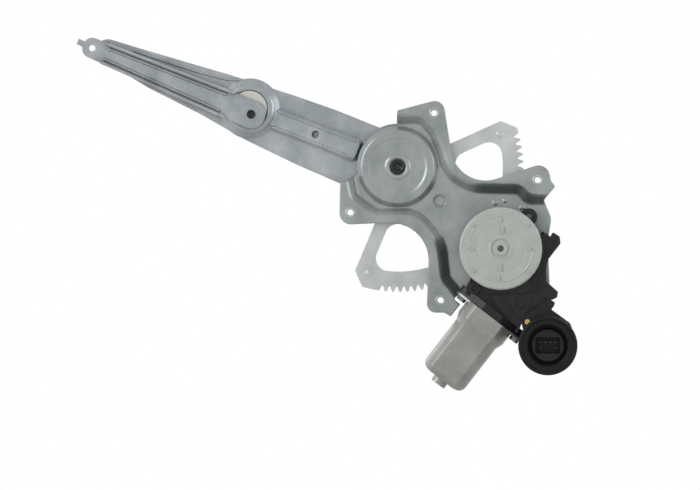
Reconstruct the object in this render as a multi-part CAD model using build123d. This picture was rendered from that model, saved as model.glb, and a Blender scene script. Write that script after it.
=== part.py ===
from build123d import *
from math import acos, atan2, cos, degrees, hypot, pi, radians, sin, tan
import os

# Window regulator, crossed-arm type, with its electric motor.
# Frame: X to the right, Z up, Y away from the side that faces the cabin.
# The origin is on the main pivot's axis, at the back face of the base plate's web.
# Lengths are millimetres. A level is a value of Y: smaller is nearer the cabin.

# Base plate: pressed steel sheet, its ears forward of a sunken web
PLATE_SHEET = 1.6
DISH_DEPTH = 7.0
WALL_SLOPE = 45.0
BEND_RADIUS = 2.6
BEND_STEPS = 3
LEAST_GROWTH = 0.45
POT_RADIUS = 32.0
POT_RISE = 3.5
POT_SLOPE = 50.0
POT_BEND = 2.0
POT_FLOOR_MARGIN = 10.5
POT_FLOOR_DROP = 0.8
EAR_HOLE_RADIUS = 2.5
EAR_COLLAR_RADIUS = 4.1
EAR_COLLAR_LENGTH = 2.4
SERVICE_HOLE_RADIUS = 4.7
UPPER_EAR = (28.5, 41.7)
RIGHT_EAR = (108.8, -10.5)
LEFT_EAR = (-36.7, -35.5)
BOTTOM_EAR = (33.5, -103.7)
SERVICE_HOLE = (32.4, -26.5)

# Main pivot
PIN_STUB_RADIUS = 6.0
PIN_SHOULDER_RADIUS = 8.0
JOURNAL_RADIUS = 5.0
BUSH_WALL = 2.5
BUSH_FLANGE = 2.0
PIN_HEAD_RADIUS = 9.0
PIN_HEAD_THICKNESS = 1.1
RUNNING_CLEARANCE = 0.05
END_CLEARANCE = 0.3

# Balance spring: flat strip wound in a spiral behind the pot
SPRING_STRIP = 1.1
SPRING_WIDTH = 5.6
SPRING_TURNS = 3.5
SPRING_MARGIN = 7.4
SPRING_HOOK_RADIUS = 1.6

# Lift arm, riveted to the sector gear
ARM_SHEET = 2.0
ARM_LEVEL = 4.5
ARM_ANGLE = 158.4
ARM_REACH = 245.5
ARM_TIP_RADIUS = 10.5
ARM_BEAD_RISE = 2.7
ARM_BEND_RADIUS = 1.0
CROSS_PIVOT_REACH = 125.0
SECTOR_SHEET = 3.0
RIVET_RADIUS = 3.0
RIVET_HEAD_RADIUS = 5.0
RIVET_HEAD = 1.3
RIVET_CIRCLE = 24.0
RIVETS = 5
FIRST_RIVET = 50.0

# Sector gear and drive pinion
GEAR_MODULE = 1.82
SECTOR_TEETH = 106
PINION_TEETH = 7
PRESSURE_ANGLE = 25.0
PROFILE_SHIFT = 0.4
TOOTH_THINNING = 0.12
MOTOR_ANGLE = -38.2
SECTOR_FIRST_ANGLE = -99.6
SECTOR_LAST_ANGLE = 16.0
SECTOR_LOW_EDGE = -112.8
SECTOR_HIGH_EDGE = 24.2
SECTOR_RIM = 16.0
SECTOR_CORNER = 10.0
SECTOR_HUB_RADIUS = 34.0
SPOKE_WIDTH = 10.5
WINDOW_CORNER = 10.0

# Equalizer arm, in two halves joined by a hub through the lift arm
FRONT_ARM_SHEET = 1.6
FRONT_ARM_LIP = 4.9
FRONT_ARM_END = (-239.9, 93.6)
FRONT_ARM_ROOT = (-114.7, 41.3)
FRONT_ARM_END_RADIUS = 8.0
FRONT_ARM_ROOT_RADIUS = 11.2
FRONT_ARM_HOLE = 2.5
LIP_ROOT_SETBACK = 9.0
LIP_END_SETBACK = 3.0
FRONT_ARM_TAB = 4.6
FRONT_ARM_TAB_ANGLE = 155.0
REAR_ARM_SHEET = 2.0
REAR_ARM_REACH = 137.6
REAR_ARM_ROOT_RADIUS = 14.0
REAR_ARM_END_RADIUS = 9.0
REAR_ARM_GAP = 5.0
HUB_RADIUS = 7.0
HUB_SHOULDER_RADIUS = 11.0
HUB_STUB_RADIUS = 5.5
DISC_RADIUS = 13.7
RING_TOP_RADIUS = 17.6
RING_FOOT_RADIUS = 23.6
RING_RISE = 4.5
RING_GAP = 0.8
RING_SHEET_INSET = 1.0

# Rollers that run in the glass rail
ROLLER_RADIUS = 8.0
ROLLER_WIDTH = 5.0
ROLLER_PIN_RADIUS = 3.5
ROLLER_LEVEL = 14.0

# Gear case and its cap
WORM_LEVEL = -19.0
CASE_RADIUS = 30.5
CASE_WALL = 2.5
CASE_FLOOR_LEVEL = -6.0
CASE_RIM_LEVEL = -30.0
CASE_BODY_BACK = -8.0
CASE_BODY_FRONT = -27.0
TUNNEL_RADIUS = 8.0
TUNNEL_BORE = 5.2
TUNNEL_END = 30.0
LUG_FRONT_LEVEL = -25.5
LUG_ARM_DEPTH = 6.0
CAP_RADIUS = 31.8
CAP_THICKNESS = 5.5
CAP_WALL = 2.6
SPIGOT_RADIUS = 12.0
SPIGOT_LEVEL = 2.5
MOTOR_SCREW_PLACES = ((32.5, 49.0), (36.5, -123.2), (37.0, -41.0))
MOTOR_LUG_RADIUS = 6.5
MOTOR_SCREW_RADIUS = 2.5
MOTOR_SCREW_HEAD_RADIUS = 4.6
MOTOR_SCREW_HEAD = 3.2
MOTOR_SCREW_SUNK = 1.5

# Worm drive
WORM_MODULE = 1.0
WHEEL_TEETH = 43
WORM_PITCH_RADIUS = 3.5
WHEEL_WIDTH = 9.0
WORM_THREAD_LENGTH = 26.0
OUTPUT_SHAFT_RADIUS = 4.0
WHEEL_TOOTH = 1.5
WHEEL_ADDENDUM = 0.75
WHEEL_DEDENDUM = 1.25
WORM_THREAD = 1.2
WORM_FLANK_ANGLE = 20.0
WHEEL_HUB_RADIUS = 7.2
DAMPER_RADIUS = 17.4
DAMPER_THICKNESS = 5.0
DRIVER_RADIUS = 16.0
DRIVER_THICKNESS = 1.8
DRIVER_LUGS = 3
DRIVER_LUG_CIRCLE = 12.2
DRIVER_LUG_RADIUS = 2.2
OUTPUT_BUSH_RADIUS = 6.5
PINION_ADDENDUM = 0.8
PINION_BORE = 3.0
PINION_OVERLAP = 0.9

# Motor, along the worm's axis
MOTOR_DIRECTION = 52.3
CAN_RADIUS = 19.0
CAN_HALF_THICKNESS = 15.0
CAN_WALL = 1.6
CAN_MOUTH = -46.0
CAN_BOTTOM = -108.0
CAN_BOSS_RADIUS = 6.2
CAN_BOSS_LENGTH = 4.5
CAN_CORNER = 6.5
CAN_SHOULDER = 2.2
CAN_SHOULDER_LENGTH = 12.0
CAN_SHOULDER_TAPER = 6.0
CAN_FLANGE_THICKNESS = 2.0
CAN_SCREW_SPACING = 51.0
CAN_SCREW_RADIUS = 2.0
CAN_SCREW_GRIP = 5.0
CAN_EAR_RADIUS = 5.5
CASE_FLANGE = 6.0
SHAFT_RADIUS = 2.0
ARMATURE_RADIUS = 11.0
AIR_GAP = 0.8
MAGNET_HALF_ANGLE = 48.0
CORE_SETBACK = 14.0
CORE_LENGTH = 26.0
CORE_SLOTS = 10
COIL_LENGTH = 3.5
COMMUTATOR_RADIUS = 6.5
COMMUTATOR_LENGTH = 9.0
BEARING_RADIUS = 4.6
BEARING_LENGTH = 5.0
FRONT_BEARING_SETBACK = 4.0
HOLDER_THICKNESS = 2.0
BRUSH_WIDTH = 4.0
BRUSH_LENGTH = 8.0

# Connector, with its pins and its rubber boot
CONNECTOR_LEVEL = -26.0
SEALING_SCREW = (101.2, -120.0)
SEALING_SCREW_RADIUS = 1.5
SEALING_SCREW_HEAD_RADIUS = 2.1
SEALING_SCREW_LENGTH = 5.0
BOOT_CENTRE = (117.0, -137.5)
BOOT_RADIUS = 22.6
BOOT_FRONT_LEVEL = -50.0
BOOT_SEAT_RADIUS = 18.0
BOOT_MOUTH_RADIUS = 15.0
SHROUD_RADIUS = 12.2
SHROUD_FRONT_LEVEL = -41.0
SOCKET_WIDTH = 19.0
SOCKET_HEIGHT = 12.4
SOCKET_DEPTH = 13.0
PIN_PITCH = 3.8
PIN_ROW_GAP = 4.6
PIN_BLADE = 0.8
PIN_LENGTH = 7.5

os.makedirs("parts", exist_ok=True)


def facing(level):
    """The drawing plane at one level, seen from the cabin side, X right and Z up."""
    return Plane.XZ.offset(-level)


def slab(outline, back, front):
    """A flat piece between two levels."""
    return extrude(facing(back) * outline, back - front)


def disc(centre, radius, back, front):
    return slab(Pos(*centre) * Circle(radius), back, front)


def ring(centre, radius, bore, back, front):
    return disc(centre, radius, back, front) - disc(centre, bore, back + 1, front - 1)


def rounded(*corners):
    """A closed outline from its corners, each given as across, up and corner radius."""
    points = [(across, up) for across, up, radius in corners]
    radii = [radius for across, up, radius in corners]
    return make_face(FilletPolyline(*points, radius=radii, close=True))


def grown(outline, amount):
    """An outline moved outwards, or inwards where the amount is negative. A move too
    small to matter is left out."""
    if abs(amount) < LEAST_GROWTH:
        return outline
    return offset(outline, amount, kind=Kind.INTERSECTION)


def pressed(outline, mouth, bottom, mouth_bend, bottom_bend, growth=0):
    """The block that a pressing's sloped walls enclose, widest at its mouth, its bends
    rounded in short facets. The two bends are the radii at its mouth and its bottom."""
    depth = abs(bottom - mouth)
    inset = depth * tan(radians(WALL_SLOPE))
    turn = 90 - WALL_SLOPE
    reach = tan(radians(turn / 2))
    total = inset + reach * (mouth_bend + bottom_bend)
    angles = [radians(turn * step / BEND_STEPS) for step in range(BEND_STEPS + 1)]
    stations = [(mouth_bend * (1 - cos(angle)), mouth_bend * sin(angle)) for angle in angles]
    stations += [(depth - bottom_bend * (1 - cos(angle)), total - bottom_bend * sin(angle))
                 for angle in reversed(angles)]
    towards = (bottom - mouth) / depth
    widest = growth + mouth_bend * reach
    return loft([facing(mouth + towards * down) * grown(outline, widest - inwards)
                 for down, inwards in stations], ruled=True)


def wall_growth(sheet):
    """How far the far side of a sloped wall stands out, for an even sheet."""
    return sheet * (1 - sin(radians(WALL_SLOPE))) / cos(radians(WALL_SLOPE))


def tapered_link(start, start_radius, end, end_radius):
    """Two discs and the tangent lines round them, as an outline."""
    return make_hull((Pos(*start) * Circle(start_radius)).edges()
                     + (Pos(*end) * Circle(end_radius)).edges())


def polar(radius, angle):
    return radius * cos(radians(angle)), radius * sin(radians(angle))


def keep(name, shape):
    shape.label = name
    export_step(shape, f"parts/{name}.step")


# Places that several pieces share
GEAR_CENTRES = GEAR_MODULE * (SECTOR_TEETH + PINION_TEETH) / 2
OUTPUT_AXIS = polar(GEAR_CENTRES, MOTOR_ANGLE)
ARM_TIP = polar(ARM_REACH, ARM_ANGLE)
CROSS_PIVOT = polar(CROSS_PIVOT_REACH, ARM_ANGLE)
ARM_BACK = ARM_LEVEL + ARM_SHEET
SECTOR_BACK = ARM_BACK + SECTOR_SHEET
WEB_FRONT = -PLATE_SHEET
FLANGE_BACK = -DISH_DEPTH
FLANGE_FRONT = FLANGE_BACK - PLATE_SHEET
POT_FRONT = WEB_FRONT - POT_RISE
POT_FLOOR_FRONT = POT_FRONT + POT_FLOOR_DROP
POT_FLOOR_BACK = POT_FLOOR_FRONT + PLATE_SHEET
REAR_ARM_LEVEL = ARM_BACK + REAR_ARM_GAP
REAR_ARM_BACK = REAR_ARM_LEVEL + REAR_ARM_SHEET
ARM_FRAME = Rot(0, 0, ARM_ANGLE)
POT_FLOOR_RADIUS = POT_RADIUS - POT_FLOOR_MARGIN
SPRING_OUTER_RADIUS = POT_RADIUS - SPRING_MARGIN
EQUALIZER_ANGLE = degrees(atan2(FRONT_ARM_END[1] - CROSS_PIVOT[1],
                                FRONT_ARM_END[0] - CROSS_PIVOT[0]))
REAR_ARM_TURN = polar(REAR_ARM_REACH, EQUALIZER_ANGLE + 180)
REAR_ARM_END = (CROSS_PIVOT[0] + REAR_ARM_TURN[0], CROSS_PIVOT[1] + REAR_ARM_TURN[1])
WORM_OFFSET = WORM_MODULE * WHEEL_TEETH / 2 + WORM_PITCH_RADIUS
ALONG = polar(1, MOTOR_DIRECTION)
ACROSS = (ALONG[1], -ALONG[0])
WORM_FOOT = (OUTPUT_AXIS[0] + WORM_OFFSET * ACROSS[0], OUTPUT_AXIS[1] + WORM_OFFSET * ACROSS[1])
MOTOR = Plane(origin=(WORM_FOOT[0], WORM_LEVEL, WORM_FOOT[1]),
              x_dir=(ACROSS[0], 0, ACROSS[1]), z_dir=(ALONG[0], 0, ALONG[1]))


def motor_round(radius, start, end):
    """A cylinder on the motor's axis between two stations."""
    return extrude(MOTOR * Pos(0, 0, start) * Circle(radius), end - start)


def motor_tube(radius, bore, start, end):
    return motor_round(radius, start, end) - motor_round(bore, start - 1, end + 1)


def motor_point(across, along):
    """A point of the drawing plane, given from the worm's foot."""
    return (WORM_FOOT[0] + across * ACROSS[0] + along * ALONG[0],
            WORM_FOOT[1] + across * ACROSS[1] + along * ALONG[1])


def about_output(radius, angle):
    """A point of the drawing plane, given from the output axis."""
    away = polar(radius, angle)
    return OUTPUT_AXIS[0] + away[0], OUTPUT_AXIS[1] + away[1]


MOTOR_SCREWS = [about_output(radius, angle) for radius, angle in MOTOR_SCREW_PLACES]


# Base plate
def plate_outline():
    ears = rounded(
        (0, 43.7, 1), (35.4, 52.9, 8), (46.9, -19.5, 27), (116, 3.5, 9), (119.3, -11.5, 2),
        (122.5, -15.5, 1), (113.5, -26, 3), (119.5, -40, 12), (116.5, -58, 20), (118.5, -99, 9),
        (66, -104, 8), (47.5, -99.5, 2), (43.6, -102.5, 1.5), (49, -106.8, 0.8), (41.5, -116.3, 1),
        (36.5, -113.3, 2), (22.8, -113.3, 7), (25.4, -43.4, 29), (-18, -44, 0),
        (-45.3, -45.2, 9), (-44.5, -13, 2), (-20, 0, 0), (-1.5, 20, 0))
    return ears + Circle(POT_RADIUS)


def dish_outline():
    """The sunken web, bounded where its wall meets the ears."""
    return rounded(
        (-80, 39.5, 0), (19.5, 40.3, 12), (31, 27, 14), (44.6, -13.2, 28), (96, -14, 12),
        (103, -22, 6), (150, -23, 0), (150, -140, 0), (62, -122, 0), (34, -88, 12),
        (30.5, -58, 30), (14, -38.8, 18), (-18, -39, 14), (-36.5, -26, 12), (-40, -10, 3), (-80, -5, 0))


def pot():
    """The round drum pressed forward over the pivot, a solid of revolution."""
    shoulder = POT_RADIUS - POT_RISE * tan(radians(POT_SLOPE))
    profile = rounded(
        (0, POT_FLOOR_FRONT, 0), (POT_FLOOR_RADIUS, POT_FLOOR_FRONT, 1),
        (POT_FLOOR_RADIUS + 2 * POT_FLOOR_DROP, POT_FRONT, 1), (shoulder, POT_FRONT, POT_BEND),
        (POT_RADIUS, WEB_FRONT, 0), (POT_RADIUS, 0, 0), (POT_RADIUS - PLATE_SHEET, 0, 0),
        (shoulder - PLATE_SHEET, POT_FRONT + PLATE_SHEET, 1),
        (POT_FLOOR_RADIUS + 2 * POT_FLOOR_DROP, POT_FRONT + PLATE_SHEET, 0.5),
        (POT_FLOOR_RADIUS, POT_FLOOR_BACK, 0.5), (0, POT_FLOOR_BACK, 0))
    return revolve(profile, Axis.Y)


def base_plate():
    outline = plate_outline()
    prism = slab(outline, 0, FLANGE_FRONT)
    outer_bend = BEND_RADIUS + PLATE_SHEET
    shell = pressed(dish_outline(), FLANGE_BACK, 0, BEND_RADIUS, outer_bend, wall_growth(PLATE_SHEET))
    shell &= prism
    body = slab(outline, FLANGE_BACK, FLANGE_FRONT) + shell
    body -= pressed(dish_outline(), FLANGE_FRONT, WEB_FRONT, outer_bend, BEND_RADIUS)
    body -= disc((0, 0), POT_RADIUS - PLATE_SHEET / 2, 1, WEB_FRONT - 1)
    body += pot()
    for ear in (UPPER_EAR, RIGHT_EAR, LEFT_EAR, BOTTOM_EAR):
        body += disc(ear, EAR_COLLAR_RADIUS, FLANGE_BACK + EAR_COLLAR_LENGTH, FLANGE_BACK)
        body -= disc(ear, EAR_HOLE_RADIUS, 1, FLANGE_FRONT - 1)
    body -= disc(SERVICE_HOLE, SERVICE_HOLE_RADIUS, 1, WEB_FRONT - 1)
    body -= disc((0, 0), PIN_STUB_RADIUS, 1, POT_FRONT - 1)
    body -= disc(OUTPUT_AXIS, SPIGOT_RADIUS, 1, WEB_FRONT - 1)
    for place in MOTOR_SCREWS:
        body -= disc(place, MOTOR_SCREW_RADIUS, 1, WEB_FRONT - 1)
    return body


plate = base_plate()
keep("base_plate", plate)


# Main pivot pin, riveted in the pot, with the bush that the lift arm turns on
PIN_SHOULDER_LEVEL = ARM_LEVEL - END_CLEARANCE
PIN_HEAD_LEVEL = SECTOR_BACK + END_CLEARANCE
pin = disc((0, 0), PIN_STUB_RADIUS, POT_FLOOR_BACK, POT_FLOOR_FRONT - 0.4)
pin += disc((0, 0), PIN_SHOULDER_RADIUS, PIN_SHOULDER_LEVEL, POT_FLOOR_BACK)
pin += disc((0, 0), JOURNAL_RADIUS, PIN_HEAD_LEVEL, PIN_SHOULDER_LEVEL)
pin += disc((0, 0), PIN_HEAD_RADIUS, PIN_HEAD_LEVEL + PIN_HEAD_THICKNESS, PIN_HEAD_LEVEL)
pin -= disc((0, 0), PIN_STUB_RADIUS / 2, POT_FLOOR_FRONT + 1, POT_FLOOR_FRONT - 1)
keep("pivot_pin", pin)

BUSH_BORE = JOURNAL_RADIUS + RUNNING_CLEARANCE
BUSH_RADIUS = BUSH_BORE + BUSH_WALL
keep("pivot_bush", ring((0, 0), BUSH_RADIUS, BUSH_BORE, SECTOR_BACK, ARM_LEVEL))


# Balance spring, hooked on a post of the lift arm
def spring_strip():
    inner = PIN_SHOULDER_RADIUS + SPRING_STRIP / 2
    outer = SPRING_OUTER_RADIUS - SPRING_STRIP / 2
    steps = 40
    turns = [SPRING_TURNS * step / steps for step in range(steps + 1)]

    def side(shift):
        return [polar(inner + (outer - inner) * turn / SPRING_TURNS + shift, 360 * turn) for turn in turns]

    near = Spline(*side(-SPRING_STRIP / 2))
    far = Spline(*side(SPRING_STRIP / 2))
    ends = [Line(near @ 0, far @ 0), Line(near @ 1, far @ 1)]
    return make_face([near, far] + ends)


SPRING_BACK = ARM_LEVEL - 2 * END_CLEARANCE
POST_PLACE = polar(SPRING_OUTER_RADIUS + SPRING_HOOK_RADIUS, 360 * SPRING_TURNS)
keep("balance_spring", slab(spring_strip(), SPRING_BACK, SPRING_BACK - SPRING_WIDTH))


# Gear teeth
def involute(angle):
    return tan(angle) - angle


def tooth_gap(teeth, shift, addendum, gap_angle):
    """The space between two teeth, as an outline that runs past their tips."""
    pitch_radius = GEAR_MODULE * teeth / 2
    base_radius = pitch_radius * cos(radians(PRESSURE_ANGLE))
    tip_radius = pitch_radius + GEAR_MODULE * (addendum + shift)
    root_radius = pitch_radius - GEAR_MODULE * (1.25 - shift)
    half_gap = (pi / (2 * teeth) - 2 * shift * tan(radians(PRESSURE_ANGLE)) / teeth
                + TOOTH_THINNING / (2 * pitch_radius) - involute(radians(PRESSURE_ANGLE)))
    low = max(base_radius, root_radius)
    flank = []
    for step in range(5):
        radius = low + (tip_radius - low) * step / 4
        flank.append((radius, half_gap + involute(acos(base_radius / radius))))

    def at(radius, half_angle):
        turn = radians(gap_angle) + half_angle
        return radius * cos(turn), radius * sin(turn)

    left = Spline(*[at(radius, half) for radius, half in flank])
    right = Spline(*[at(radius, -half) for radius, half in flank])
    root = [at(root_radius, flank[0][1]), at(root_radius, -flank[0][1])]
    mouth_radius = tip_radius + GEAR_MODULE
    mouth = [at(mouth_radius, flank[-1][1]), at(mouth_radius, -flank[-1][1])]
    sides = [left, right, Line(root[0], root[1]), Line(left @ 1, mouth[0]), Line(mouth[0], mouth[1]),
             Line(mouth[1], right @ 1)]
    if low > root_radius:
        sides += [Line(root[0], left @ 0), Line(root[1], right @ 0)]
    return make_face(sides)


# Sector gear: a fan of plate steel with two windows, toothed on its rim
def sector_outline():
    tip_radius = GEAR_MODULE * (SECTOR_TEETH / 2 + 1 - PROFILE_SHIFT)
    span = SECTOR_HIGH_EDGE - SECTOR_LOW_EDGE

    def fan(radius):
        wide = [polar(radius * 2, SECTOR_LOW_EDGE + span * part / 3) for part in range(4)]
        return Circle(radius) & make_face(Polyline((0, 0), *wide, (0, 0)))

    face = fan(tip_radius)
    face = chamfer([v for v in face.vertices() if hypot(v.X, v.Y) > tip_radius - 1], SECTOR_CORNER)
    opening = offset(fan(tip_radius - SECTOR_RIM + SPOKE_WIDTH), -SPOKE_WIDTH)
    opening -= Circle(SECTOR_HUB_RADIUS + SPOKE_WIDTH)
    opening -= Rot(0, 0, MOTOR_ANGLE) * Rectangle(3 * tip_radius, SPOKE_WIDTH)
    for window in opening.faces():
        face -= offset(offset(window, -WINDOW_CORNER), WINDOW_CORNER)
    return face + Circle(SECTOR_HUB_RADIUS)


def sector_gear():
    face = sector_outline()
    pitch_angle = 360 / SECTOR_TEETH
    first_gap = MOTOR_ANGLE + pitch_angle / 2
    while first_gap - pitch_angle > SECTOR_FIRST_ANGLE:
        first_gap -= pitch_angle
    gap = first_gap
    while gap < SECTOR_LAST_ANGLE:
        face -= tooth_gap(SECTOR_TEETH, -PROFILE_SHIFT, 1, gap)
        gap += pitch_angle
    face -= Circle(BUSH_RADIUS)
    for angle in RIVET_ANGLES:
        face -= Pos(*polar(RIVET_CIRCLE, angle)) * Circle(RIVET_RADIUS)
    return slab(face, SECTOR_BACK, ARM_BACK)


RIVET_ANGLES = [ARM_ANGLE + FIRST_RIVET + 360 / RIVETS * place for place in range(RIVETS)]
keep("sector_gear", sector_gear())


# Lift arm: a wide tapered pressing with a raised bead and a raised ring round the hub
def arm_local(*corners):
    return ARM_FRAME * rounded(*corners)


def lift_outline():
    blade = arm_local(
        (-8, -23, 0), (60, -23.6, 60), (95, -22.3, 60), (ARM_REACH * 0.61, -18.8, 60),
        (ARM_REACH * 0.9, -12.4, 60), (ARM_REACH, -ARM_TIP_RADIUS, 0),
        (ARM_REACH, ARM_TIP_RADIUS * 0.7, 0), (ARM_REACH * 0.84, 14, 60), (ARM_REACH * 0.65, 18.3, 60),
        (120, 24, 60), (75, 27.3, 60), (37, 28.6, 30), (-8, 27, 0))
    return blade + Circle(SECTOR_HUB_RADIUS) + Pos(*ARM_TIP) * Circle(ARM_TIP_RADIUS)


def bead_outlines():
    root = POT_RADIUS - 0.5
    neck = CROSS_PIVOT_REACH - RING_TOP_RADIUS
    main = arm_local((root, -9.6, 6), (60, -9, 30), (neck, -8.6, 6),
                     (neck, 9.6, 6), (60, 9, 30), (root, 9.8, 6))
    start = CROSS_PIVOT_REACH + RING_TOP_RADIUS
    end = ARM_REACH * 0.87
    tip = arm_local((start, -9, 6), (end, -6, 6), (end, 7.5, 6), (ARM_REACH * 0.76, 10, 30), (start, 13, 6))
    return [main, tip]


def pivot_ring(level, growth):
    """The cone that carries the pivot's ring, up to its flat top."""
    lower = facing(level) * Pos(*CROSS_PIVOT) * Circle(RING_FOOT_RADIUS + growth)
    upper = facing(level - RING_RISE) * Pos(*CROSS_PIVOT) * Circle(RING_TOP_RADIUS + growth)
    return loft([lower, upper], ruled=True)


def lift_arm():
    body = slab(lift_outline(), ARM_BACK, ARM_LEVEL)
    outer_bend = ARM_BEND_RADIUS + ARM_SHEET
    outers = [pressed(bead, ARM_LEVEL, ARM_LEVEL - ARM_BEAD_RISE, ARM_BEND_RADIUS, outer_bend)
              for bead in bead_outlines()]
    inners = [pressed(bead, ARM_BACK, ARM_BACK - ARM_BEAD_RISE, outer_bend, ARM_BEND_RADIUS,
                      -wall_growth(ARM_SHEET)) for bead in bead_outlines()]
    outers.append(pivot_ring(ARM_LEVEL, 0))
    inners.append(pivot_ring(ARM_BACK, -RING_SHEET_INSET))
    for outer in outers:
        body += outer
    body -= inners[0]
    body -= inners[1]
    ring_back = inners[2] - disc(CROSS_PIVOT, DISC_RADIUS + END_CLEARANCE + ARM_SHEET, ARM_BACK + 1, -1)
    body -= ring_back
    body -= disc(CROSS_PIVOT, DISC_RADIUS + END_CLEARANCE, ARM_LEVEL, -1)
    body -= disc(CROSS_PIVOT, HUB_RADIUS + RUNNING_CLEARANCE + BUSH_FLANGE, ARM_BACK + 1, 0)
    body -= disc((0, 0), BUSH_RADIUS, ARM_BACK + 1, 0)
    body -= disc(polar(69.5, ARM_ANGLE), 3, ARM_BACK + 1, 0)
    for angle in RIVET_ANGLES:
        body -= disc(polar(RIVET_CIRCLE, angle), RIVET_RADIUS, ARM_BACK + 1, 0)
    body -= disc(POST_PLACE, SPRING_HOOK_RADIUS, ARM_BACK + 1, 0)
    body -= disc(ARM_TIP, ROLLER_PIN_RADIUS, ARM_BACK + 1, 0)
    return body


keep("lift_arm", lift_arm())

arm_rivets = []
for angle in RIVET_ANGLES:
    place = polar(RIVET_CIRCLE, angle)
    rivet = disc(place, RIVET_RADIUS, SECTOR_BACK, ARM_LEVEL)
    rivet += disc(place, RIVET_HEAD_RADIUS, SECTOR_BACK + RIVET_HEAD, SECTOR_BACK)
    arm_rivets.append(rivet)
keep("arm_rivets", Compound(children=arm_rivets))

post = disc(POST_PLACE, SPRING_HOOK_RADIUS, ARM_BACK, SPRING_BACK - SPRING_WIDTH)
keep("spring_post", post)


# Cross pivot: a nylon disc in the lift arm, and the steel hub of the equalizer in it
FRONT_ARM_BACK = ARM_LEVEL - RING_RISE - RING_GAP
FRONT_ARM_FRONT = FRONT_ARM_BACK - FRONT_ARM_SHEET
DISC_FRONT = FRONT_ARM_BACK + END_CLEARANCE
pivot_disc = disc(CROSS_PIVOT, DISC_RADIUS, ARM_LEVEL, DISC_FRONT)
pivot_disc += disc(CROSS_PIVOT, HUB_RADIUS + RUNNING_CLEARANCE + BUSH_FLANGE, ARM_BACK, ARM_LEVEL)
pivot_disc -= disc(CROSS_PIVOT, HUB_RADIUS + RUNNING_CLEARANCE, ARM_BACK + 1, DISC_FRONT - 1)
keep("pivot_disc", pivot_disc)

hub = disc(CROSS_PIVOT, HUB_RADIUS, ARM_BACK + END_CLEARANCE, FRONT_ARM_BACK)
hub += disc(CROSS_PIVOT, HUB_SHOULDER_RADIUS, REAR_ARM_LEVEL, ARM_BACK + END_CLEARANCE)
hub += disc(CROSS_PIVOT, HUB_STUB_RADIUS, REAR_ARM_BACK + 0.8, REAR_ARM_LEVEL)
keep("equalizer_hub", hub)


# Equalizer, front half: a channel with its lips forward
def front_arm():
    whole = tapered_link(FRONT_ARM_END, FRONT_ARM_END_RADIUS, FRONT_ARM_ROOT, FRONT_ARM_ROOT_RADIUS)
    hollow = offset(whole, -FRONT_ARM_SHEET)
    floor = slab(whole, FRONT_ARM_BACK, FRONT_ARM_FRONT)
    lip_front = FRONT_ARM_BACK - FRONT_ARM_LIP
    lips = slab(whole - hollow, FRONT_ARM_FRONT, lip_front)
    lips -= disc(FRONT_ARM_ROOT, FRONT_ARM_ROOT_RADIUS + LIP_ROOT_SETBACK, FRONT_ARM_FRONT + 1, lip_front - 1)
    lips -= disc(FRONT_ARM_END, FRONT_ARM_END_RADIUS + LIP_END_SETBACK, FRONT_ARM_FRONT + 1, lip_front - 1)
    body = floor + lips
    tab_place = polar(FRONT_ARM_END_RADIUS + FRONT_ARM_TAB / 2 - 1, FRONT_ARM_TAB_ANGLE)
    tab = Pos(*FRONT_ARM_END) * Pos(*tab_place) * Rot(0, 0, FRONT_ARM_TAB_ANGLE)
    tab *= RectangleRounded(FRONT_ARM_TAB + 2, FRONT_ARM_TAB, 0.8)
    body += slab(tab, FRONT_ARM_BACK, FRONT_ARM_FRONT)
    for place in (FRONT_ARM_END, FRONT_ARM_ROOT):
        body -= disc(place, FRONT_ARM_HOLE, FRONT_ARM_BACK + 1, FRONT_ARM_FRONT - 1)
    return body


keep("equalizer_front_arm", front_arm())

rear_face = tapered_link(CROSS_PIVOT, REAR_ARM_ROOT_RADIUS, REAR_ARM_END, REAR_ARM_END_RADIUS)
rear_face -= Pos(*CROSS_PIVOT) * Circle(HUB_STUB_RADIUS)
rear_face -= Pos(*REAR_ARM_END) * Circle(ROLLER_PIN_RADIUS)
keep("equalizer_rear_arm", slab(rear_face, REAR_ARM_BACK, REAR_ARM_LEVEL))


# Rollers on their pins
def roller_pin(place, seat_front, seat_back):
    """A stud riveted in an arm, with a shoulder behind it and a head behind the roller."""
    body = disc(place, ROLLER_PIN_RADIUS, ROLLER_LEVEL + ROLLER_WIDTH + END_CLEARANCE, seat_front)
    shoulder = ROLLER_LEVEL - END_CLEARANCE
    if shoulder > seat_back:
        body += disc(place, ROLLER_PIN_RADIUS + 2.5, shoulder, seat_back)
    head = ROLLER_LEVEL + ROLLER_WIDTH + END_CLEARANCE
    return body + disc(place, ROLLER_PIN_RADIUS + 2, head + 1, head)


def roller(place):
    body = disc(place, ROLLER_RADIUS, ROLLER_LEVEL + ROLLER_WIDTH, ROLLER_LEVEL)
    body = fillet(body.edges().filter_by(GeomType.CIRCLE), 0.8)
    bore = ROLLER_PIN_RADIUS + RUNNING_CLEARANCE
    return body - disc(place, bore, ROLLER_LEVEL + ROLLER_WIDTH + 1, ROLLER_LEVEL - 1)


keep("lift_arm_roller_pin", roller_pin(ARM_TIP, ARM_LEVEL, ARM_BACK))
keep("equalizer_roller_pin", roller_pin(REAR_ARM_END, REAR_ARM_LEVEL, REAR_ARM_BACK))
keep("lift_arm_roller", roller(ARM_TIP))
keep("equalizer_roller", roller(REAR_ARM_END))


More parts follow.
